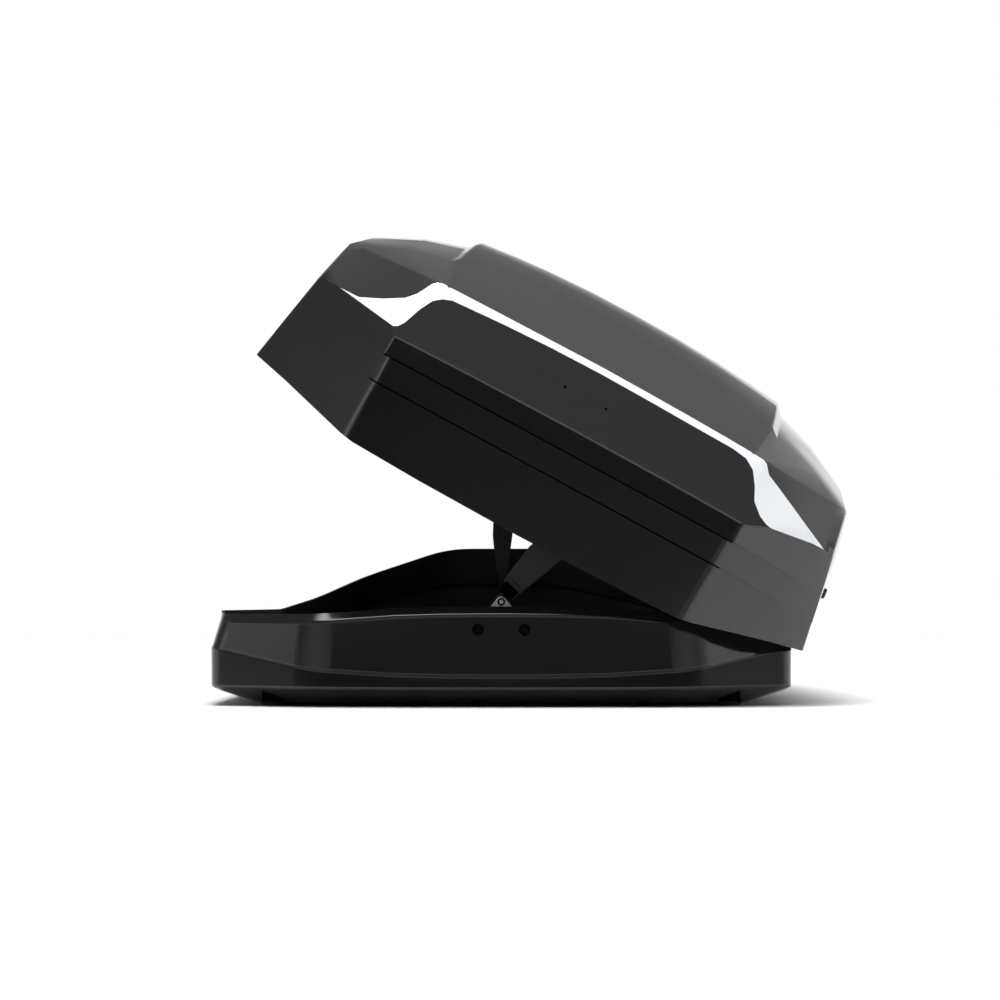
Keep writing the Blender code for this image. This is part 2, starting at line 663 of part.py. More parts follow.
def rear_bolt(name, x):
    profile = [(-0.0300, 0.0), (-0.0300, 0.0030), (0.0005, 0.0030), (0.0005, 0.0080), (0.0028, 0.0080),
               (0.0032, 0.0075), (0.0014, 0.0063), (0.0012, 0.0050), (0.0036, 0.0044), (0.0049, 0.0028),
               (0.0053, 0.0)]
    obj = turned(name, profile, 24)
    return place(obj, NYLON, PARTS, None, (x, BOLT_Y, BOLT_Z), (0, -WALL_SLOPE, -math.pi / 2))


def floor_rail(name, x):
    """Slotted channel rail along the floor."""
    base = FLOOR_Z + GAP
    profile = [(-0.0200, 0.0), (0.0200, 0.0), (0.0200, 0.0140), (0.0060, 0.0140), (0.0060, 0.0110),
               (0.0150, 0.0110), (0.0150, 0.0030), (-0.0150, 0.0030), (-0.0150, 0.0110), (-0.0060, 0.0110),
               (-0.0060, 0.0140), (-0.0200, 0.0140)]
    middle = (RAIL_ENDS[0] + RAIL_ENDS[1]) / 2
    obj = prism(name, [(px, middle, base + pz) for px, pz in profile], RAIL_ENDS[1] - RAIL_ENDS[0])
    recalculated(obj)
    return place(obj, ALUMINIUM, PARTS, None, (x, 0, 0))


def clamp_housing(name, x, y):
    base = FLOOR_Z + GAP + 0.0140 + GAP
    obj = rounded(boxes(name, [((-0.0420, -0.0300, 0), (0.0420, 0.0300, 0.0260))]), 0.004, 2)
    place(obj, NYLON, PARTS, None, (x, y, base))
    bore = rods(f"{name}_bore", [((0, 0, -0.01), (0, 0, 0.04), PIN_RADIUS + GAP)])
    cutter(bore, obj)
    return combine(obj, bore, "DIFFERENCE")


def clamp_knob(name, x, y):
    """Star-shaped hand knob over the stud."""
    outline = []
    for i in range(36):
        turn = math.tau * i / 36
        radius = 0.0250 + 0.0025 * math.cos(6 * turn)
        outline.append((radius * math.cos(turn), radius * math.sin(turn), 0.0120))
    obj = mesh_object(name, outline, [tuple(range(len(outline)))])
    solid = obj.modifiers.new("thickness", "SOLIDIFY")
    solid.thickness = 0.0220
    solid.offset = 0.0
    rounded(obj, 0.002, 1, math.radians(50))
    z = FLOOR_Z + 3 * GAP + 0.0400
    place(obj, GREY_GRIP, PARTS, None, (x, y, z))
    bore = rods(f"{name}_bore", [((0, 0, -0.01), (0, 0, 0.0190), PIN_RADIUS + GAP)])
    cutter(bore, obj)
    return combine(obj, bore, "DIFFERENCE")


def clamp_stud(name, x, y):
    """T-headed stud whose head pulls up under the rail's lips."""
    base = FLOOR_Z + GAP + 0.0030
    obj = rods(name, [((0, 0, 0.0020), (0, 0, 0.0520), PIN_RADIUS)])
    place(obj, STEEL, PARTS, None, (x, y, base + 0.0005))
    head = boxes(f"{name}_head", [((-0.0140, -0.0200, 0), (0.0140, 0.0200, 0.0045))])
    cutter(head, obj)
    return combine(obj, head, "UNION")


# ---------------------------------------------------------------- assembly


def build():
    pivot = empty("lid_pivot", (HINGE_X, 0, HINGE_Z), (0, OPEN_ANGLE, 0))
    base_shell()
    lid_shell(pivot)
    for word, side in (("left", -1), ("right", 1)):
        hinge_bar(f"{word}_hinge_bar", STEEL, pivot, side)
        catch_rail(f"{word}_catch_rail", side)
        lid_hinge(f"{word}_lid_hinge", pivot, side)
        lock_bar(f"{word}_lock_bar", pivot, side)
        lock_plate(f"{word}_lock_plate", pivot, side)
        lock_knob(f"{word}_lock_knob", pivot, side)
        key_cylinder(f"{word}_key_cylinder", pivot, side)
        grab_handle(f"{word}_grab_handle", pivot, side)
        floor_rail(f"{word}_floor_rail", side * RAIL_X)
        rear_bolt(f"rear_bolt_{word}", side * BOLT_X)
    lid_track("rear_lid_track", pivot, REAR_LIFTER_Y, (0.3430, 0.3590))
    lid_track("front_lid_track", pivot, FRONT_LIFTER_Y, (0.3800, 0.3715))
    for end, y_mid in (("rear", REAR_LIFTER_Y), ("front", FRONT_LIFTER_Y)):
        lifter_bracket(f"{end}_lifter_bracket", y_mid, end == "rear")
        lifter_pin(f"{end}_lifter_pin", y_mid)
        for word, side in (("left", -1), ("right", 1)):
            strut_sleeve(f"{end}_{word}_strut_sleeve", side, y_mid)
            strut_tube(f"{end}_{word}_strut_tube", side, y_mid)
            strut_rod(f"{end}_{word}_strut_rod", side, y_mid)
    for end, y in zip(("rear", "front"), CLAMPS_Y):
        for word, side in (("left", -1), ("right", 1)):
            clamp_housing(f"{end}_{word}_clamp_housing", side * RAIL_X, y)
            clamp_knob(f"{end}_{word}_clamp_knob", side * RAIL_X, y)
            clamp_stud(f"{end}_{word}_clamp_stud", side * RAIL_X, y)


build()
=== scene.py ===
"""Looks of the roof cargo box: shells, finishes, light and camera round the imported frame."""

import json
import math

import bmesh
import bpy
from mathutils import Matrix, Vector


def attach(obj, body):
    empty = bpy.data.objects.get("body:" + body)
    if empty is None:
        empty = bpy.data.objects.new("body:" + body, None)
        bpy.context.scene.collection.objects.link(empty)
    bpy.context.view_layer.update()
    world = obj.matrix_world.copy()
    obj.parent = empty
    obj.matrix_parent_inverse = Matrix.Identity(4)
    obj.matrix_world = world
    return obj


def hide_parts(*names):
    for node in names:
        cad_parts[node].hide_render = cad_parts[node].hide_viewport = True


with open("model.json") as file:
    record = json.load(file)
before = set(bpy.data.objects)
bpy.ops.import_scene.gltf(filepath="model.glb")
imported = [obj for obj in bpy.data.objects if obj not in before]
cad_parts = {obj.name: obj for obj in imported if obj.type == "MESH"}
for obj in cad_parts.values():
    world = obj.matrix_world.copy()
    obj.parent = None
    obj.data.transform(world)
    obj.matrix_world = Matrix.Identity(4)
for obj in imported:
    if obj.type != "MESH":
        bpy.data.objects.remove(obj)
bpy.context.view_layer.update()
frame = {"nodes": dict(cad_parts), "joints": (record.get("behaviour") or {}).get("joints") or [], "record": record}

RIGHT_HINGE = next(joint for joint in frame["joints"] if joint["name"] == "lid_right_hinge")
HINGE = RIGHT_HINGE["pos_m"]
OPEN = math.radians(-RIGHT_HINGE["range_deg"][0])


# ---------------------------------------------------------------- materials


def new_material(name):
    mat = bpy.data.materials.new(name)
    mat.use_nodes = True
    nodes = mat.node_tree.nodes
    return mat, nodes, mat.node_tree.links, nodes["Principled BSDF"]


def texture_space(nodes, links, stretch=(1, 1, 1)):
    coords = nodes.new("ShaderNodeTexCoord")
    mapping = nodes.new("ShaderNodeMapping")
    mapping.inputs["Scale"].default_value = stretch
    links.new(coords.outputs["Object"], mapping.inputs["Vector"])
    return mapping


def noise(nodes, links, space, scale, detail=4.0, rough=0.6):
    tex = nodes.new("ShaderNodeTexNoise")
    tex.inputs["Scale"].default_value = scale
    tex.inputs["Detail"].default_value = detail
    tex.inputs["Roughness"].default_value = rough
    links.new(space.outputs["Vector"], tex.inputs["Vector"])
    return tex


def ramp(nodes, links, source, stops):
    node = nodes.new("ShaderNodeValToRGB")
    node.color_ramp.elements[0].position = stops[0][0]
    node.color_ramp.elements[0].color = (*stops[0][1], 1)
    node.color_ramp.elements[1].position = stops[-1][0]
    node.color_ramp.elements[1].color = (*stops[-1][1], 1)
    for place, colour in stops[1:-1]:
        node.color_ramp.elements.new(place).color = (*colour, 1)
    links.new(source, node.inputs["Fac"])
    return node


def spread(nodes, links, source, low, high):
    node = nodes.new("ShaderNodeMapRange")
    node.inputs["To Min"].default_value = low
    node.inputs["To Max"].default_value = high
    links.new(source, node.inputs["Value"])
    return node


def bump(nodes, links, height, strength, distance):
    node = nodes.new("ShaderNodeBump")
    node.inputs["Strength"].default_value = strength
    node.inputs["Distance"].default_value = distance
    links.new(height, node.inputs["Height"])
    return node


def moulded(
    name, dark, light, rough, grain, depth, coat=0.0, metallic=0.0, strength=0.35, stretch=(1, 1, 1)
):
    """Moulded or painted surface: slow tone change, fine grain and a gloss that wanders."""
    mat, nodes, links, shader = new_material(name)
    space = texture_space(nodes, links, stretch)
    slow = noise(nodes, links, space, 3.0, 3.0)
    fine = noise(nodes, links, space, grain, 3.0, 0.7)
    tone = ramp(nodes, links, slow.outputs["Fac"], ((0.3, dark), (0.7, light)))
    gloss = spread(nodes, links, slow.outputs["Fac"], rough[0], rough[1])
    relief = bump(nodes, links, fine.outputs["Fac"], strength, depth)
    links.new(tone.outputs["Color"], shader.inputs["Base Color"])
    links.new(gloss.outputs["Result"], shader.inputs["Roughness"])
    links.new(relief.outputs["Normal"], shader.inputs["Normal"])
    shader.inputs["Metallic"].default_value = metallic
    shader.inputs["Coat Weight"].default_value = coat
    shader.inputs["Coat Roughness"].default_value = 0.04
    return mat


def brushed(name, dark, light, rough, stretch):
    return moulded(name, dark, light, rough, 220.0, 0.0002, metallic=1.0, strength=0.25, stretch=stretch)


GLOSS = moulded(
    "gloss_black_shell", (0.0055, 0.0055, 0.0062), (0.0075, 0.0075, 0.0084), (0.08, 0.11), 900.0, 0.00002,
    coat=0.35, strength=0.04)
# Near-white finish of the band on the lid's rear: a painted reflection of the bright studio on the glossy black
# shell.
PAINTED_REFLECTION_BAND = moulded(
    "painted_reflection_band", (0.80, 0.82, 0.85), (0.88, 0.90, 0.93), (0.20, 0.26), 700.0, 0.00002,
    coat=0.3, strength=0.05)
# Near-black finish with almost no reflection: painted shade inside grooves, holes, the cover slot and neck, and
# round the ear's pin.
PAINTED_SHADE_BLACK = moulded("painted_shade_black", (0.001, 0.001, 0.001), (0.002, 0.002, 0.002), (0.8, 0.9), 500.0, 0.0001)
TRAY = moulded(
    "tray_inside", (0.0040, 0.0040, 0.0042), (0.0060, 0.0060, 0.0063), (0.55, 0.65), 400.0, 0.0002)
INNER = moulded("lid_inside", (0.006, 0.006, 0.0065), (0.009, 0.009, 0.0095), (0.50, 0.62), 320.0, 0.0003)
BASE = moulded(
    "textured_black_base", (0.0060, 0.0060, 0.0063), (0.0082, 0.0082, 0.0086), (0.09, 0.13), 700.0, 0.00004,
    strength=0.08)
COVER = moulded(
    "strut_cover", (0.0055, 0.0070, 0.0105), (0.0095, 0.0118, 0.0170), (0.26, 0.36), 500.0, 0.0001)
# Darker, duller copy of the strut cover finish: painted shade on the left covers and their rib.
COVER_PAINTED_SHADE = moulded(
    "strut_cover_painted_shade", (0.0020, 0.0026, 0.0040), (0.0034, 0.0042, 0.0062), (0.38, 0.48), 500.0, 0.0001)
# Black bolt finish made darker still and nearly without reflection: the bolts are black, and the extra dark is
# painted shade of their recesses.
BOLT_PAINTED_SHADE = moulded(
    "recessed_bolt_painted_shade", (0.0010, 0.0010, 0.0011), (0.0018, 0.0018, 0.0020), (0.30, 0.42), 500.0, 0.00006)
NYLON = moulded("black_nylon", (0.012, 0.012, 0.013), (0.020, 0.020, 0.021), (0.42, 0.55), 600.0, 0.00015)
GRIP = moulded("grey_grip", (0.10, 0.105, 0.11), (0.16, 0.165, 0.17), (0.55, 0.70), 450.0, 0.0003)
BLACK_STEEL = moulded(
    "black_steel", (0.006, 0.006, 0.007), (0.011, 0.011, 0.012), (0.34, 0.46), 500.0, 0.00008,
    metallic=0.1)
# Specular level per finish; the lowest belong to the finishes painted as shade.
for dull, level in ((BLACK_STEEL, 0.25), (COVER_PAINTED_SHADE, 0.16), (COVER, 0.36), (BOLT_PAINTED_SHADE, 0.03), (PAINTED_SHADE_BLACK, 0.02)):
    dull.node_tree.nodes["Principled BSDF"].inputs["Specular IOR Level"].default_value = level
ZINC = brushed("zinc_steel", (0.50, 0.51, 0.53), (0.66, 0.67, 0.69), (0.26, 0.38), (1, 12, 1))
ALUMINIUM = brushed("aluminium_rail", (0.55, 0.56, 0.57), (0.68, 0.69, 0.70), (0.28, 0.36), (12, 1, 12))
CHROME = brushed("lock_chrome", (0.66, 0.66, 0.68), (0.80, 0.80, 0.82), (0.08, 0.16), (1, 1, 1))

BY_SLOT = {
    "gloss_black_shell": GLOSS,
    "textured_black_base": BASE,
    "black_steel": BLACK_STEEL,
    "zinc_steel": ZINC,
    "aluminium_rail": ALUMINIUM,
    "strut_cover": COVER,
    "lock_chrome": CHROME,
    "grey_grip": GRIP,
    "black_nylon": NYLON,
}
# Own finishes: painted shade on the left strut covers, and rear bolts darkened as painted shade.
OWN = {
    "rear_left_strut_sleeve": COVER_PAINTED_SHADE,
    "front_left_strut_sleeve": COVER_PAINTED_SHADE,
    "rear_bolt_left": BOLT_PAINTED_SHADE,
    "rear_bolt_right": BOLT_PAINTED_SHADE,
}


# ---------------------------------------------------------------- helpers


# Angles in degrees between faces, below which shells and small pieces are shaded smooth
SMOOTH_BELOW = 38
SMALL_SMOOTH_BELOW = 40
EDGE_SEGMENTS = 4
SMALL_EDGE_SEGMENTS = 2


def mesh_object(name, verts, faces, materials, slots=None):
    data = bpy.data.meshes.new(name)
    data.from_pydata([tuple(v) for v in verts], [], faces)
    for mat in materials:
        data.materials.append(mat)
    if slots:
        data.polygons.foreach_set("material_index", slots)
    data.update()
    obj = bpy.data.objects.new(name, data)
    bpy.context.scene.collection.objects.link(obj)
    return obj


def smooth(obj, degrees):
    for polygon in obj.data.polygons:
        polygon.use_smooth = True
    obj.data.set_sharp_from_angle(angle=math.radians(degrees))
    sides = {}
    for polygon in obj.data.polygons:
        for key in polygon.edge_keys:
            sides.setdefault(key, set()).add(polygon.material_index)
    for edge in obj.data.edges:
        if len(sides[edge.key]) > 1:
            edge.use_edge_sharp = True


def bevel(obj, width, segments, degrees):
    step = obj.modifiers.new("edges", "BEVEL")
    step.width = width
    step.segments = segments
    step.limit_method = "ANGLE"
    step.angle_limit = math.radians(degrees)
    step.use_clamp_overlap = True
    return step


def wall(obj, thickness, inner_slot):
    step = obj.modifiers.new("wall", "SOLIDIFY")
    step.thickness = thickness
    step.offset = -1.0
    step.use_even_offset = True
    step.material_offset = inner_slot
    step.material_offset_rim = inner_slot
    return step


def apply_modifiers(obj):
    graph = bpy.context.evaluated_depsgraph_get()
    data = bpy.data.meshes.new_from_object(obj.evaluated_get(graph))
    obj.modifiers.clear()
    obj.data = data
    return obj


def flat_normals(obj):
    """Shading normals that follow the large faces, so that the rounding stays in the narrow ones."""
    step = obj.modifiers.new("normals", "WEIGHTED_NORMAL")
    step.mode = "FACE_AREA"
    step.keep_sharp = True
    bpy.context.view_layer.update()
    apply_modifiers(obj)


def facing_out(obj):
    mesh = bmesh.new()
    mesh.from_mesh(obj.data)
    bmesh.ops.recalc_face_normals(mesh, faces=mesh.faces)
    mesh.to_mesh(obj.data)
    mesh.free()


def finish_shell(obj, thickness, inner_slot):
    """Wall, applied edges and shading of one of the two large shells."""
    wall(obj, thickness, inner_slot)
    bpy.context.view_layer.update()
    apply_modifiers(obj)
    smooth(obj, SMOOTH_BELOW)
    flat_normals(obj)


def finish_small(obj, rounding, degrees):
    """Outward faces, rounded edges and shading of a small piece."""
    facing_out(obj)
    bevel(obj, rounding, SMALL_EDGE_SEGMENTS, degrees)
    bpy.context.view_layer.update()
    apply_modifiers(obj)
    smooth(obj, SMALL_SMOOTH_BELOW)


def curve_between(keys, count, crowding):
    """Smooth rows through key rows of numbers, spaced along the first number and closer towards its end."""
    rows = []
    spans = len(keys) - 1
    for step in range(count + 1):
        place = keys[0][0] + (keys[-1][0] - keys[0][0]) * (1 - (1 - step / count) ** crowding)
        span = max(i for i in range(spans) if keys[i][0] <= place or i == 0)
        a, b = keys[span], keys[span + 1]
        before = keys[max(span - 1, 0)]
        after = keys[min(span + 2, spans)]
        width = b[0] - a[0]
        t = (place - a[0]) / width
        row = [place]
        for k in range(1, len(a)):
            start = (b[k] - before[k]) / max(b[0] - before[0], 1e-9) * width
            end = (after[k] - a[k]) / max(after[0] - a[0], 1e-9) * width
            row.append(
                (2 * t**3 - 3 * t**2 + 1) * a[k] + (t**3 - 2 * t**2 + t) * start
                + (3 * t**2 - 2 * t**3) * b[k] + (t**3 - t**2) * end
            )
        rows.append(row)
    return rows


class Skin:
    """Collects the faces of a surface given in the closed position, for one side or both."""

    def __init__(self):
        self.verts = []
        self.index = {}
        self.faces = []
        self.slots = []
        self.fine = set()

    def vertex(self, point):
        key = tuple(round(c, 6) for c in point)
        if key not in self.index:
            self.index[key] = len(self.verts)
            self.verts.append(key)
        return self.index[key]

    def face(self, *points, slot=0, sides=(1, -1)):
        for side in sides:
            loop = points if side > 0 else [(-x, y, z) for x, y, z in reversed(points)]
            made = [self.vertex(p) for p in loop]
            made = [v for i, v in enumerate(made) if v != made[i - 1]]
            if len(made) > 2:
                self.faces.append(made)
                self.slots.append(slot)

    def mark_fine(self, points):
        for x, y, z in points:
            self.fine.add(self.vertex((x, y, z)))
            self.fine.add(self.vertex((-x, y, z)))


def soft_edges(obj, fine, full, segments, degrees, fine_share, plain_slot=-1):
    """Bevel on each edge that turns by more than the angle, narrower on fine edges, none round one slot."""
    mesh = bmesh.new()
    mesh.from_mesh(obj.data)
    floats = mesh.edges.layers.float
    layer = floats.get("bevel_weight_edge") or floats.new("bevel_weight_edge")
    for edge in mesh.edges:
        if len(edge.link_faces) < 2 or edge.calc_face_angle(0.0) < math.radians(degrees):
            continue
        if any(face.material_index == plain_slot for face in edge.link_faces):
            continue
        narrow = all(v.index in fine for v in edge.verts)
        edge[layer] = fine_share if narrow else 1.0
    mesh.to_mesh(obj.data)
    mesh.free()
    step = bevel(obj, full, segments, degrees)
    step.limit_method = "WEIGHT"
    step.use_clamp_overlap = False


# ---------------------------------------------------------------- lid

# y, then x and z of lower edge, side crest, outer shoulder, inner shoulder, plateau corner; z of the centre
LID_KEYS = (
    (-0.800, 0.4484, 0.0990, 0.432, 0.255, 0.417, 0.312, 0.272, 0.360, 0.262, 0.370, 0.3735),
    (-0.550, 0.4509, 0.1035, 0.434, 0.262, 0.404, 0.360, 0.275, 0.4125, 0.262, 0.4285, 0.4440),
    (-0.100, 0.4505, 0.1080, 0.434, 0.268, 0.404, 0.366, 0.279, 0.418, 0.265, 0.433, 0.4480),
    (0.450, 0.4474, 0.1170, 0.430, 0.262, 0.392, 0.345, 0.262, 0.396, 0.248, 0.409, 0.4240),
    (0.720, 0.4069, 0.1340, 0.388, 0.250, 0.350, 0.312, 0.245, 0.356, 0.232, 0.366, 0.3800),
    (0.920, 0.3274, 0.1650, 0.308, 0.240, 0.275, 0.278, 0.180, 0.306, 0.168, 0.313, 0.3240),
    (1.002, 0.2060, 0.2000, 0.192, 0.240, 0.170, 0.258, 0.122, 0.2735, 0.112, 0.277, 0.2850),
)
NOSE_END = (1.0115, 0.184, 0.2075, 0.176, 0.236, 0.156, 0.249, 0.114, 0.2620, 0.104, 0.2650, 0.2720)
# The plateau's points as shares of its corner's distance from the centre line, and how its arch falls off
PLATEAU = (1.0, 0.80, 0.58, 0.30, 0.0)
PLATEAU_FALL = 2.2

# Rear columns, from the centre line out: lower end and upper end
REAR_COLUMNS = (
    ((0.0000, -1.0850, 0.0430), (0.0000, -1.0694, 0.2103)),
    ((0.1500, -1.0850, 0.0445), (0.1500, -1.0698, 0.2093)),
    ((0.2560, -1.0845, 0.0478), (0.2620, -1.0705, 0.2072)),
    ((0.2775, -1.0800, 0.0515), (0.2765, -1.0707, 0.2065)),
    ((0.3840, -1.0300, 0.0805), (0.3805, -0.9997, 0.2338)),
    ((0.4415, -0.9800, 0.0945), (0.4170, -0.9620, 0.2365)),
)
# Which way each column moves where the wall is set in, per metre of inset: x and y
COLUMN_INSET = ((0.0, 1.0), (0.0, 1.0), (-0.1, 1.0), (-0.3, 0.95), (0.0, 0.0), (0.0, 0.0))
# Height of each row on the rear wall and how far it is set in: two narrow grooves
REAR_ROWS = ((0.1358, 0.0000), (0.1360, 0.0015), (0.1380, 0.0015), (0.1382, 0.0000),
             (0.1760, 0.0000), (0.1762, 0.0015), (0.1782, 0.0015), (0.1784, 0.0000))
GROOVE_FACES = (1, 2, 3, 5, 6, 7)
CORNER_COLUMN = 3
CREASE_INSET = 0.0012
# The rear panel above the crease: y and z at its foot, and how far it leans forward per metre of height
PANEL_FROM = (-1.0682, 0.2103)
PANEL_LEAN = 0.367
PANEL_HOLES = ((0.0325, 0.2585), (-0.0325, 0.2585))
HOLE_RADIUS = 0.0022
HOLE_FLOOR_RADIUS = 0.0020
HOLE_DEPTH = 0.0012

# Lower and upper edge of the band painted white as a reflection, on each side, from the centre line out
PANEL_EDGE = {
    1: ((0.000, 0.2995), (0.075, 0.2985), (0.150, 0.2968), (0.2156, 0.2955), (0.2386, 0.2922),
        (0.2545, 0.2821), (0.2675, 0.2624), (0.2765, 0.2432), (0.2932, 0.2283)),
    -1: ((0.000, 0.2995), (0.075, 0.2985), (0.150, 0.2955), (0.2293, 0.2905), (0.2425, 0.2855),
         (0.2536, 0.2767), (0.2631, 0.2580), (0.2680, 0.2430), (0.2720, 0.2307)),
}
PANEL_FOOT = {1: (0.3108, -1.0640, 0.2203), -1: (0.2806, -1.0657, 0.2172)}
BAND_TOP = {
    1: ((0.000, -1.0120, 0.3105), (0.075, -1.0115, 0.3097), (0.150, -1.0100, 0.3085),
        (0.205, -1.0080, 0.3072), (0.245, -1.0055, 0.3060), (0.2672, -1.0035, 0.3044),
        (0.2791, -1.0125, 0.2889), (0.300, -1.0125, 0.2794), (0.330, -1.0080, 0.2657),
        (0.365, -1.0000, 0.2497)),
    -1: ((0.000, -1.0120, 0.3105), (0.075, -1.0115, 0.3098), (0.150, -1.0100, 0.3090),
         (0.205, -1.0080, 0.3085), (0.245, -1.0055, 0.3080), (0.2601, -1.0035, 0.3077),
         (0.2670, -1.0130, 0.3001), (0.2781, -1.0280, 0.2768), (0.2903, -1.0330, 0.2626),
         (0.3177, -1.0290, 0.2469), (0.3493, -1.0180, 0.2335)),
}
BAND_TIP = {1: (0.4000, -0.9805, 0.2352), -1: (0.3805, -0.9997, 0.2338)}
# Which point of the band's upper edge is the shoulder's peak
PEAK = 5
SHOULDER_ROWS = 4
LID_ROWS = 36
LID_ROW_CROWDING = 1.6
# How far the middle of the shoulder face stands out, and how much the face rises where it does so in full
SHOULDER_CROWN = 0.006
FULL_CROWN_RISE = 0.05
LID_EDGE_WIDTH = 0.0034
LID_EDGE_ANGLE = 9
LID_WALL = 0.003


def rear_point(column, z, inset, side):
    low, high = REAR_COLUMNS[column]
    t = (z - low[2]) / (high[2] - low[2])
    ix, iy = COLUMN_INSET[column] if side > 0 or column != CORNER_COLUMN else (0.0, 0.0)
    x = low[0] + (high[0] - low[0]) * t + ix * inset
    y = low[1] + (high[1] - low[1]) * t + iy * inset
    return (x, y, z)


def panel_point(x, z):
    return (x, PANEL_FROM[0] + PANEL_LEAN * (z - PANEL_FROM[1]), z)


def between(a, b, t):
    return tuple(p + (q - p) * t for p, q in zip(a, b))


def lid_row(row):
    y, x0, z0, x1, z1, x2, z2, x3, z3, x4, z4, top = row
    edge = [(x0, y, z0), (x1, y, z1), (x2, y, z2)]
    middle = (x2 + x3) / 2
    edge.append((middle, y, (z2 + z3) / 2 + SHOULDER_CROWN * min(1.0, (z3 - z2) / FULL_CROWN_RISE)))
    edge.append((x3, y, z3))
    edge += [(x4 * f, y, top - (top - z4) * f**PLATEAU_FALL) for f in PLATEAU]
    return edge


def rear_wall(skin, side):
    """Lower wall with its two narrow grooves, up to the crease under the panel."""
    columns = []
    rows_end = len(REAR_ROWS) + 1
    for number, (low, high) in enumerate(REAR_COLUMNS):
        column = [low] + [rear_point(number, z, inset, side) for z, inset in REAR_ROWS]
        if number <= CORNER_COLUMN:
            column.append(rear_point(number, high[2], CREASE_INSET, 1))
        columns.append(column)
        skin.mark_fine(column[1:rows_end])
    for column in columns[2:5]:
        skin.mark_fine(column[:rows_end])
    for number, (near, far) in enumerate(zip(columns, columns[1:])):
        for i in range(min(len(near), len(far)) - 1):
            # Groove faces get the near-black finish as painted shade inside the grooves.
            dark = number < CORNER_COLUMN and i in GROOVE_FACES
            skin.face(near[i], far[i], far[i + 1], near[i + 1], slot=2 if dark else 0, sides=(side,))
    return columns


def rear_corner(skin, side, columns, first):
    """Panel edge, band painted white as a reflection, and smooth shoulder face on one side."""
    only = (side,)
    side_crest, outer, middle, inner, *plateau = first[1:]
    crest = [REAR_COLUMNS[4][1], REAR_COLUMNS[5][1]]
    foot = PANEL_FOOT[side]
    tip = BAND_TIP[side]
    wall_end, last_four, last_five = columns[3][-1], columns[4][-1], columns[5][-1]
    skin.face(columns[3][-2], last_four, crest[0], foot, wall_end, sides=only)
    rim = [crest[0]] if tip == crest[0] else [crest[0], tip]
    skin.face(last_four, last_five, crest[1], *reversed(rim), sides=only)
    shelf = [column[-1] for column in columns[:4]]
    low = [panel_point(x, z) for x, z in PANEL_EDGE[side]]
    top = list(BAND_TOP[side])
    skin.face(shelf[0], shelf[1], low[2], low[1], low[0], sides=only)
    skin.face(shelf[1], shelf[2], low[5], low[4], low[3], low[2], sides=only)
    skin.face(shelf[2], shelf[3], foot, low[8], low[7], low[6], low[5], sides=only)
    # The band's faces take slot 1, the near-white painted reflection.
    for i in range(8):
        skin.face(low[i], low[i + 1], top[i + 1], top[i], slot=1, sides=only)
    lower = [low[8], foot, crest[0]]
    upper = top[8:] + ([tip] if tip != top[-1] else [])
    skin.face(lower[0], lower[1], upper[1], upper[0], slot=1, sides=only)
    if side > 0:
        skin.face(lower[1], lower[2], upper[2], upper[1], slot=1, sides=only)
        skin.face(lower[2], upper[2], slot=1, sides=only)
    else:
        skin.face(lower[1], upper[2], upper[1], slot=1, sides=only)
        skin.face(lower[1], lower[2], upper[2], slot=1, sides=only)
    peak = top[PEAK]
    lower_line = [crest[1], tip] + top[:PEAK:-1] + [peak]
    count = len(lower_line) - 1
    grid = []
    for j, start in enumerate(lower_line):
        end = between(outer, peak, j / count)
        grid.append([between(start, end, i / SHOULDER_ROWS) for i in range(SHOULDER_ROWS + 1)])
    skin.mark_fine([(side * x, y, z) for line in grid[1:] for x, y, z in line[:-1]] + [crest[0], crest[1]])
    for near, far in zip(grid, grid[1:]):
        for i in range(SHOULDER_ROWS):
            skin.face(near[i], near[i + 1], far[i + 1], far[i], sides=only)
    edge = grid[0]
    skin.face(crest[1], side_crest, *reversed(edge[1:]), sides=only)
    ridge = [line[-1] for line in grid]
    skin.face(*ridge, middle, sides=only)
    skin.face(peak, inner, middle, sides=only)
    inward = top[PEAK - 1::-1]
    skin.face(peak, inward[0], plateau[0], inner, sides=only)
    for i in range(PEAK - 1):
        skin.face(inward[i], plateau[i], plateau[i + 1], inward[i + 1], sides=only)


def lid_skin():
    skin = Skin()
    rows = [lid_row(r) for r in curve_between(LID_KEYS, LID_ROWS, LID_ROW_CROWDING)] + [lid_row(NOSE_END)]
    first = rows[0]
    for side in (1, -1):
        columns = rear_wall(skin, side)
        outer = columns[-1]
        skin.face(outer[0], first[0], first[1], REAR_COLUMNS[-1][1], *reversed(outer[1:]), sides=(side,))
        rear_corner(skin, side, columns, first)
    for near, far in zip(rows, rows[1:]):
        for i in range(len(near) - 1):
            skin.face(near[i], far[i], far[i + 1], near[i + 1])
    last = rows[-1]
    for i in range(len(last) - 1):
        skin.face(last[i], (0.0, NOSE_END[0], 0.240), last[i + 1])
    skin.face(last[0], (0.0, NOSE_END[0], 0.2075), (0.0, NOSE_END[0], 0.240))
    return skin


def opened(point):
    """Closed-position point as it stands with the lid open on its right hinge."""
    x, y, z = point
    dx, dz = x - HINGE[0], z - HINGE[2]
    across = HINGE[0] + dx * math.cos(OPEN) + dz * math.sin(OPEN)
    height = HINGE[2] - dx * math.sin(OPEN) + dz * math.cos(OPEN)
    return (across, y, height)


def make_lid():
    skin = lid_skin()
    obj = mesh_object("lid_skin", [opened(v) for v in skin.verts], skin.faces,
                      [GLOSS, PAINTED_REFLECTION_BAND, PAINTED_SHADE_BLACK, INNER, INNER, INNER], skin.slots)
    facing_out(obj)
    soft_edges(obj, skin.fine, LID_EDGE_WIDTH, EDGE_SEGMENTS, LID_EDGE_ANGLE, 0.0, 1)
    finish_shell(obj, LID_WALL, 3)
    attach(obj, "lid")
    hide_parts("lid_shell")
    for number, (x, z) in enumerate(PANEL_HOLES):
        dimple(f"panel_hole_{number}", opened(panel_point(x, z)))


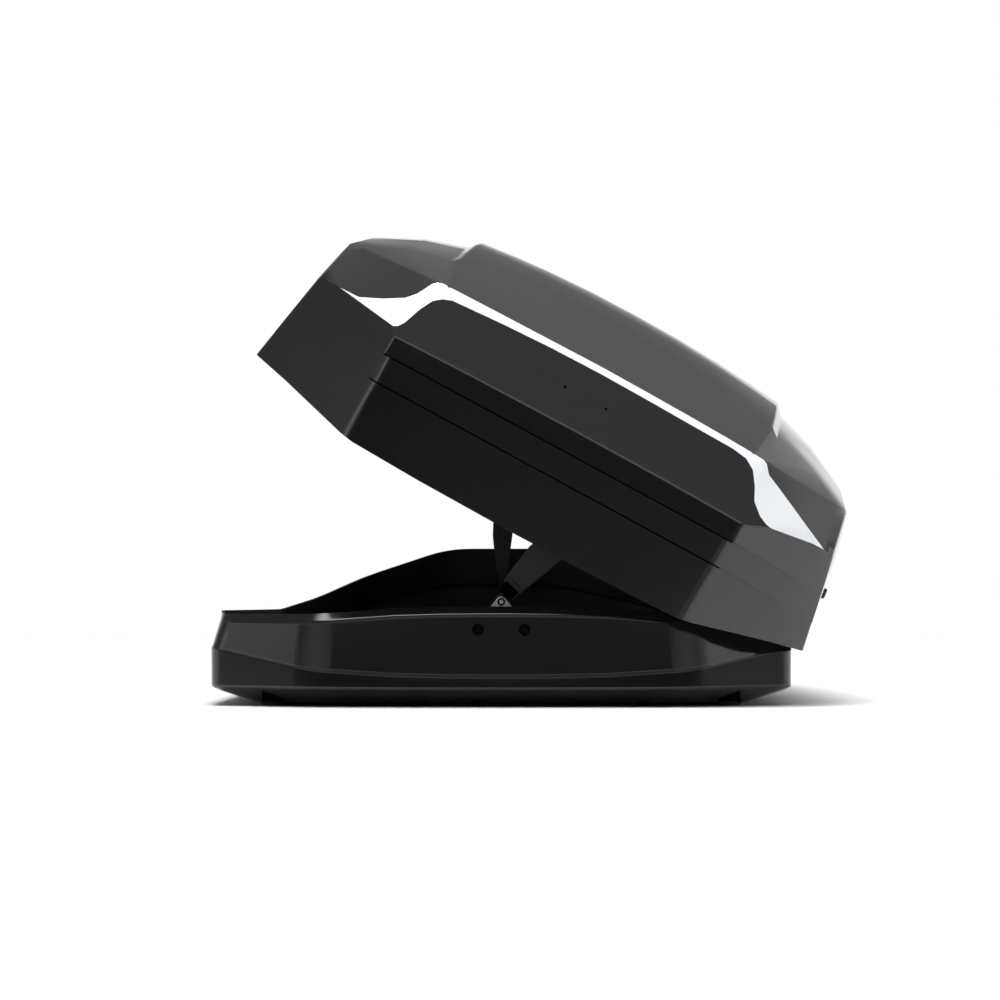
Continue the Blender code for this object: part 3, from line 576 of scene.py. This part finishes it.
def dimple(name, place):
    """Small blind hole in the rear panel, painted near black as the shade inside it."""
    mesh = bmesh.new()
    bmesh.ops.create_cone(
        mesh, cap_ends=True, segments=20, radius1=HOLE_RADIUS, radius2=HOLE_FLOOR_RADIUS, depth=HOLE_DEPTH)
    data = bpy.data.meshes.new(name)
    mesh.to_mesh(data)
    mesh.free()
    data.materials.append(PAINTED_SHADE_BLACK)
    obj = bpy.data.objects.new(name, data)
    bpy.context.scene.collection.objects.link(obj)
    tilt = math.atan(PANEL_LEAN)
    lean = Vector(opened((0.0, -math.cos(tilt), math.sin(tilt))))
    lean -= Vector(opened((0.0, 0.0, 0.0)))
    obj.rotation_mode = "QUATERNION"
    obj.rotation_quaternion = lean.to_track_quat("Z", "Y")
    obj.location = place
    smooth(obj, SMALL_SMOOTH_BELOW)
    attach(obj, "lid")


# ---------------------------------------------------------------- base

# Right half of each ring, from the rear centre line to the nose: x, y, z
BASE_RINGS = (
    ((0.0, -1.0200, 0.0040), (0.080, -1.0200, 0.0040), (0.150, -1.0200, 0.0040), (0.245, -1.0200, 0.0040),
     (0.353, -0.9400, 0.0040), (0.358, -0.800, 0.0040), (0.360, -0.100, 0.0040), (0.350, 0.500, 0.0040),
     (0.280, 0.680, 0.0040), (0.190, 0.760, 0.0040), (0.070, 0.790, 0.0040)),
    ((0.0, -1.0690, 0.0205), (0.080, -1.0690, 0.0205), (0.150, -1.0690, 0.0205), (0.262, -1.0680, 0.0215),
     (0.402, -0.9690, 0.0215), (0.412, -0.800, 0.0215), (0.414, -0.100, 0.0215), (0.410, 0.520, 0.0255),
     (0.346, 0.735, 0.0470), (0.256, 0.903, 0.0940), (0.097, 0.967, 0.1330)),
    ((0.0, -1.0795, 0.0245), (0.080, -1.0795, 0.0245), (0.150, -1.0795, 0.0245), (0.268, -1.0785, 0.0255),
     (0.4125, -0.9750, 0.0260), (0.419, -0.800, 0.0260), (0.421, -0.100, 0.0260), (0.417, 0.520, 0.0300),
     (0.353, 0.740, 0.0520), (0.263, 0.910, 0.1000), (0.101, 0.975, 0.1400)),
    ((0.0, -1.0765, 0.0410), (0.080, -1.0765, 0.0413), (0.150, -1.0765, 0.0428), (0.268, -1.0750, 0.0500),
     (0.4125, -0.9715, 0.0810), (0.4235, -0.800, 0.0850), (0.4245, -0.100, 0.0930), (0.4205, 0.520, 0.1020),
     (0.3655, 0.740, 0.1180), (0.2795, 0.925, 0.1500), (0.1095, 0.992, 0.1880)),
    ((0.0, -1.0744, 0.0445), (0.080, -1.0744, 0.0448), (0.150, -1.0744, 0.0463), (0.2675, -1.0733, 0.0540),
     (0.4110, -0.9705, 0.0860), (0.4150, -0.800, 0.0890), (0.4150, -0.100, 0.0970), (0.4150, 0.520, 0.1060),
     (0.3570, 0.737, 0.1220), (0.2740, 0.916, 0.1540), (0.1080, 0.981, 0.1920)),
    ((0.0, -1.0605, 0.1285), (0.080, -1.0606, 0.1279), (0.150, -1.0609, 0.1258), (0.262, -1.0605, 0.1178),
     (0.4005, -0.9630, 0.1190), (0.4125, -0.800, 0.1240), (0.4125, -0.100, 0.1280), (0.4125, 0.520, 0.1300),
     (0.3560, 0.735, 0.1530), (0.2700, 0.906, 0.1960), (0.1060, 0.970, 0.2520)),
    ((0.0, -1.0485, 0.1400), (0.080, -1.0486, 0.1394), (0.150, -1.0489, 0.1373), (0.258, -1.0485, 0.1293),
     (0.3975, -0.9600, 0.1300), (0.4120, -0.800, 0.1350), (0.4120, -0.100, 0.1370), (0.4120, 0.520, 0.1390),
     (0.3555, 0.735, 0.1620), (0.2695, 0.905, 0.2050), (0.1055, 0.968, 0.2610)),
)
# The two rings of the stepped lip line, whose edges stay crisp
LIP_RINGS = (3, 4)
CORNER = 3
CORNER_REACH = 0.030
SIDE_CORNER_REACH = 0.022
CORNER_STEPS = 6
NOSE_CORNERS = (10, 9, 8, 7)
NOSE_REACH = 0.045
REAR_BOW = 0.0070
BASE_EDGE_WIDTH = 0.0035
BASE_EDGE_ANGLE = 14
BASE_FINE_SHARE = 0.35
BASE_WALL = 0.004
# Underside ribs on each side: distance from the centre line and width
RIBS = ((0.037, 0.035), (0.120, 0.040), (0.200, 0.028), (0.325, 0.034))
RIB_ENDS = (-0.985, 0.56)
MIDDLE_RIB_WIDTH = 0.030
MIDDLE_RIB_ENDS = (-0.060, 0.060)
RIB_TOP = 0.0055
RIB_SIDE_SLOPE = 0.004
RIB_END_SLOPE = 0.010


def bowed(ring):
    """The ring with its rear edge drawn as a shallow arc."""
    span = ring[CORNER][0]
    rear = [(x, y + REAR_BOW * (x / span) ** 2, z) for x, y, z in ring[:CORNER + 1]]
    return rear + list(ring[CORNER + 1:])


def round_corner(ring, at, reach):
    """The same ring with one corner drawn as a short curve."""
    before, corner, after = (Vector(p) for p in ring[at - 1:at + 2])
    start = corner + (before - corner).normalized() * reach
    end = corner + (after - corner).normalized() * reach
    curve = []
    for i in range(CORNER_STEPS + 1):
        t = i / CORNER_STEPS
        curve.append(tuple(start * (1 - t) ** 2 + corner * (2 * t * (1 - t)) + end * t**2))
    return list(ring[:at]) + curve + list(ring[at + 1:])


def make_base():
    rings = []
    for ring in BASE_RINGS:
        half = bowed(ring) + [(-ring[-1][0], *ring[-1][1:])]
        for at in NOSE_CORNERS:
            half = round_corner(half, at, NOSE_REACH)
        half.pop()
        half = round_corner(half, CORNER + 1, SIDE_CORNER_REACH)
        half = round_corner(half, CORNER, CORNER_REACH)
        rings.append(half + [(-x, y, z) for x, y, z in reversed(half[1:])])
    count = len(rings[0])
    verts = [p for ring in rings for p in ring]
    faces = [tuple(reversed(range(count)))]
    for level in range(len(rings) - 1):
        for i in range(count):
            j = (i + 1) % count
            a = level * count
            faces.append((a + i, a + j, a + count + j, a + count + i))
    obj = mesh_object("base_skin", verts, faces, [BASE, TRAY, TRAY])
    facing_out(obj)
    fine = {ring * count + i for ring in LIP_RINGS for i in range(count)}
    soft_edges(obj, fine, BASE_EDGE_WIDTH, EDGE_SEGMENTS, BASE_EDGE_ANGLE, BASE_FINE_SHARE)
    finish_shell(obj, BASE_WALL, 1)
    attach(obj, "base")
    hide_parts("base_shell")
    for number, (x, width) in enumerate(RIBS):
        for side in (1, -1):
            rib(f"base_rib_{number}_{'right' if side > 0 else 'left'}", side * x, width, *RIB_ENDS)
    rib("base_rib_middle", 0.0, MIDDLE_RIB_WIDTH, *MIDDLE_RIB_ENDS)


def rib(name, x, width, start, end):
    """Flat moulded rib under the floor, with sloping ends and sides."""
    half, foot = width / 2, width / 2 - RIB_SIDE_SLOPE
    verts = []
    for y, toward in ((start, RIB_END_SLOPE), (end, -RIB_END_SLOPE)):
        verts += [(x - half, y, RIB_TOP), (x + half, y, RIB_TOP)]
        verts += [(x + foot, y + toward, 0.0), (x - foot, y + toward, 0.0)]
    faces = [(0, 1, 2, 3), (7, 6, 5, 4), (0, 4, 5, 1), (1, 5, 6, 2), (2, 6, 7, 3), (3, 7, 4, 0)]
    obj = mesh_object(name, verts, faces, [BASE])
    finish_small(obj, 0.0010, 20)
    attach(obj, "base")


# ---------------------------------------------------------------- small parts


LIFTER_Y = {"rear": -0.852, "front": 0.640}
PIN_HEIGHT = 0.147
STRUT_FACE = -0.0075
STRUT_OFFSET = 0.013
RIGHT_STRUT_ANGLE = math.radians(45.0)
LEFT_STRUT_ANGLE = math.radians(87.0)
# Details on a cover's flat face, in the strut's own frame: along the strut and across it
SLOT_ALONG, SLOT_ACROSS = (0.0330, 0.0345), (-0.0060, 0.0115)
NECK_ALONG, NECK_ACROSS = (0.0095, 0.0275), (-0.0085, 0.0160)
NECK_RIB_ALONG = (0.0105, 0.0270)
NECK_RIB_HEIGHTS = (-0.0060, -0.0005, 0.0050, 0.0105)
NECK_RIB_WIDTH = 0.0018
LEFT_RIB_ALONG, LEFT_RIB_ACROSS = (0.0500, 0.2200), (0.0012, 0.0032)
BOX_FACES = ((0, 1, 3, 2), (4, 6, 7, 5), (0, 4, 5, 1), (2, 3, 7, 6), (0, 2, 6, 4), (1, 5, 7, 3))


def block(name, spans, material, place, angle, body):
    """Small boxes in a strut's own frame, turned about its pin."""
    verts, faces = [], []
    for low, high in spans:
        at = len(verts)
        xs, ys, zs = zip(low, high)
        verts += [(x, y, z) for x in xs for y in ys for z in zs]
        faces += [tuple(at + i for i in face) for face in BOX_FACES]
    obj = mesh_object(name, verts, faces, [material])
    obj.location = place
    obj.rotation_euler = (0, -angle, 0)
    finish_small(obj, 0.0004, 30)
    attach(obj, body)


def on_face(along, across, out, sunk):
    """Corners of a box that stands out of a cover's flat face and is sunk into it."""
    return ((along[0], STRUT_FACE - out, across[0]), (along[1], STRUT_FACE + sunk, across[1]))


def strut_details(end, y_mid):
    """Slot and ribbed neck on the right cover, rib on the left one."""
    right = (0.0, y_mid - STRUT_OFFSET, PIN_HEIGHT)
    slot = [on_face(SLOT_ALONG, SLOT_ACROSS, 0.0003, 0.0010)]
    neck = [on_face(NECK_ALONG, NECK_ACROSS, 0.0001, 0.0018)]
    neck += [on_face(NECK_RIB_ALONG, (z, z + NECK_RIB_WIDTH), 0.0010, 0.0) for z in NECK_RIB_HEIGHTS]
    # The slot and the ribbed neck are painted near black as the shade in their recesses.
    for part, spans in (("cover_slot", slot), ("neck_ribs", neck)):
        name = f"{end}_right_{part}"
        block(name, spans, PAINTED_SHADE_BLACK, right, RIGHT_STRUT_ANGLE, f"{end}_right_sleeve")
    left = (0.0, y_mid + STRUT_OFFSET, PIN_HEIGHT)
    rib_span = [on_face(LEFT_RIB_ALONG, LEFT_RIB_ACROSS, 0.0010, 0.0010)]
    name = f"{end}_left_cover_rib"
    block(name, rib_span, COVER_PAINTED_SHADE, left, LEFT_STRUT_ANGLE, f"{end}_left_sleeve")


EAR_FOOT = (0.0200, 0.1345)
EAR_RADIUS = 0.0078
# The ear's round top, in degrees from +X
EAR_ARC = (42, 138)
EAR_ARC_STEPS = 10
EAR_FACES = (-0.8872, -0.8840)
# Radius and y round the section of the bush
BUSH_SECTION = (
    (0.0031, -0.8926), (0.0050, -0.8932), (0.0056, -0.8926), (0.0056, -0.8900), (0.0031, -0.8900))
BUSH_STEPS = 32


def turned(section, steps, height):
    """Vertices and faces of a ring whose section turns about a line along Y."""
    verts = []
    for k in range(steps):
        angle = 2 * math.pi * k / steps
        verts += [(r * math.cos(angle), y, height + r * math.sin(angle)) for r, y in section]
    wide = len(section)
    faces = []
    for k in range(steps):
        here, there = k * wide, (k + 1) % steps * wide
        for i in range(wide):
            j = (i + 1) % wide
            faces.append((here + i, here + j, there + j, there + i))
    return verts, faces


def ear_plate():
    """Triangular ear in front of the rear bracket with a dark bush round the pin."""
    outline = [(-EAR_FOOT[0], EAR_FOOT[1]), EAR_FOOT]
    for i in range(EAR_ARC_STEPS + 1):
        angle = math.radians(EAR_ARC[0] + (EAR_ARC[1] - EAR_ARC[0]) / EAR_ARC_STEPS * i)
        outline.append((EAR_RADIUS * math.cos(angle), PIN_HEIGHT + EAR_RADIUS * math.sin(angle)))
    count = len(outline)
    verts = [(x, y, z) for y in EAR_FACES for x, z in outline]
    faces = [tuple(range(count)), tuple(reversed(range(count, 2 * count)))]
    faces += [(i, i + count, (i + 1) % count + count, (i + 1) % count) for i in range(count)]
    obj = mesh_object("rear_ear_plate", verts, faces, [ZINC])
    finish_small(obj, 0.0005, 30)
    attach(obj, "base")
    # The bush carries the near-black painted shade finish.
    bush = mesh_object("rear_pin_bush", *turned(BUSH_SECTION, BUSH_STEPS, PIN_HEIGHT), [PAINTED_SHADE_BLACK])
    facing_out(bush)
    smooth(bush, 30)
    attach(bush, "base")


# ---------------------------------------------------------------- camera, light, floor


def aim(obj, target):
    direction = Vector(target) - obj.location
    obj.rotation_mode = "QUATERNION"
    obj.rotation_quaternion = direction.to_track_quat("-Z", "Y")


def area_light(name, place, target, size, power):
    data = bpy.data.lights.new(name, "AREA")
    data.shape = "RECTANGLE"
    data.size, data.size_y = size
    data.energy = power
    obj = bpy.data.objects.new(name, data)
    bpy.context.scene.collection.objects.link(obj)
    obj.location = place
    aim(obj, target)


CAMERA_PLACE = (-0.0018, -5.675, 0.128)
CAMERA_LENS = 119.1
CAMERA_RISE = 1.99
FLOOR_HALF = 14.0
FLOOR_DROP = 0.0005


def make_camera():
    data = bpy.data.cameras.new("camera")
    data.sensor_width = 36.0
    data.lens = CAMERA_LENS
    data.clip_end = 100.0
    obj = bpy.data.objects.new("camera", data)
    bpy.context.scene.collection.objects.link(obj)
    obj.location = CAMERA_PLACE
    obj.rotation_euler = (math.radians(90.0 + CAMERA_RISE), 0, 0)
    bpy.context.scene.camera = obj


def make_floor():
    data = bpy.data.meshes.new("floor")
    corners = [(-1, -1), (1, -1), (1, 1), (-1, 1)]
    data.from_pydata([(x * FLOOR_HALF, y * FLOOR_HALF, 0) for x, y in corners], [], [(0, 1, 2, 3)])
    mat, nodes, links, shader = new_material("pale_floor")
    space = texture_space(nodes, links)
    tone = ramp(nodes, links, noise(nodes, links, space, 2.0).outputs["Fac"],
                ((0.2, (0.90, 0.90, 0.90)), (0.8, (0.94, 0.94, 0.94))))
    links.new(tone.outputs["Color"], shader.inputs["Base Color"])
    shader.inputs["Roughness"].default_value = 0.7
    data.materials.append(mat)
    obj = bpy.data.objects.new("floor", data)
    bpy.context.scene.collection.objects.link(obj)
    obj.location = (0, 0, -FLOOR_DROP)


def math_node(nodes, links, operation, *values):
    node = nodes.new("ShaderNodeMath")
    node.operation = operation
    for i, value in enumerate(values):
        if isinstance(value, (int, float)):
            node.inputs[i].default_value = value
        else:
            links.new(value, node.inputs[i])
    return node.outputs[0]


BRIGHTEST = 8.0


def degrees_ramp(nodes, links, angle, low, high, stops):
    """Grey level against an angle in degrees."""
    share = math_node(nodes, links, "MULTIPLY_ADD", angle, 1.0 / (high - low), -low / (high - low))
    places = [((at - low) / (high - low), (level / BRIGHTEST,) * 3) for at, level in stops]
    node = ramp(nodes, links, share, places)
    return math_node(nodes, links, "MULTIPLY", node.outputs["Color"], BRIGHTEST)


# Studio brightness against elevation in degrees: ahead of the camera, behind it, and in two windows behind
# it, each with its share against the angle across
AHEAD = ((-90, 1.0), (11.2, 1.0), (14.5, 0.35), (22, 0.22), (66, 0.22), (71, 6.5), (90, 6.5))
BEHIND = ((-90, 0.6), (5, 0.40), (8.5, 0.12), (11.5, 0.10), (13, 0.03), (16, 0.03), (19.5, 0.08),
          (23, 0.20), (24.2, 1.5), (26.8, 1.5), (29.5, 0.33), (58, 0.28), (66, 0.30), (71, 6.5), (90, 6.5))
WINDOW = ((-90, 0.0), (25, 0.0), (31, 0.28), (44, 0.28), (54, 0.0), (90, 0.0))
WINDOW_ACROSS = ((-180, 0.0), (-78, 0.0), (-60, 0.25), (-42, 0.50), (-20, 1.0), (10, 1.0), (34, 0.30),
                 (60, 0.0), (180, 0.0))
SIDE = ((-90, 0.0), (6, 0.0), (12, 0.55), (26, 0.55), (34, 0.0), (90, 0.0))
SIDE_ACROSS = ((-180, 0.0), (50, 0.0), (62, 1.0), (84, 1.0), (96, 0.0), (180, 0.0))
# Where the studio changes from what is behind the camera to what is ahead, as the direction's y
TURN_FROM, TURN_TO = -0.15, 0.25


def make_world():
    world = bpy.data.worlds.new("studio")
    world.use_nodes = True
    nodes, links = world.node_tree.nodes, world.node_tree.links
    back = nodes["Background"]
    coords = nodes.new("ShaderNodeTexCoord")
    split = nodes.new("ShaderNodeSeparateXYZ")
    links.new(coords.outputs["Generated"], split.inputs["Vector"])
    x, y, z = split.outputs
    up = math_node(nodes, links, "DEGREES", math_node(nodes, links, "ARCSINE", z))
    away = math_node(nodes, links, "MULTIPLY", y, -1.0)
    across = math_node(nodes, links, "DEGREES", math_node(nodes, links, "ARCTAN2", x, away))
    ahead = degrees_ramp(nodes, links, up, -90, 90, AHEAD)
    behind = degrees_ramp(nodes, links, up, -90, 90, BEHIND)
    for height, width in ((WINDOW, WINDOW_ACROSS), (SIDE, SIDE_ACROSS)):
        window = degrees_ramp(nodes, links, up, -90, 90, height)
        share = degrees_ramp(nodes, links, across, -180, 180, width)
        behind = math_node(nodes, links, "ADD", behind, math_node(nodes, links, "MULTIPLY", window, share))
    turn = nodes.new("ShaderNodeMapRange")
    turn.interpolation_type = "SMOOTHSTEP"
    turn.inputs["From Min"].default_value = TURN_FROM
    turn.inputs["From Max"].default_value = TURN_TO
    links.new(y, turn.inputs["Value"])
    mix = nodes.new("ShaderNodeMix")
    links.new(turn.outputs["Result"], mix.inputs["Factor"])
    links.new(behind, mix.inputs["A"])
    links.new(ahead, mix.inputs["B"])
    # The studio's dark and bright parts light the object, and the backdrop stays white from every side.
    backdrop = nodes.new("ShaderNodeMix")
    links.new(nodes.new("ShaderNodeLightPath").outputs["Is Camera Ray"], backdrop.inputs["Factor"])
    links.new(mix.outputs["Result"], backdrop.inputs["A"])
    backdrop.inputs["B"].default_value = 1.0
    links.new(backdrop.outputs["Result"], back.inputs["Strength"])
    back.inputs["Color"].default_value = (1.0, 1.0, 1.0, 1.0)
    bpy.context.scene.world = world
    bpy.context.scene.view_settings.view_transform = "Standard"


make_camera()
make_floor()
make_world()
area_light("overhead", place=(0.0, 0.2, 5.5), target=(0.0, 0.2, 0.0), size=(2.4, 2.4), power=150)

slots_of = {entry["node"]: entry["material_slot"] for entry in frame["record"]["subparts"]}
for node, obj in frame["nodes"].items():
    for slot in obj.material_slots:
        slot.material = OWN.get(node, BY_SLOT[slots_of[node]])

make_lid()
make_base()
ear_plate()
for end, y_mid in LIFTER_Y.items():
    strut_details(end, y_mid)
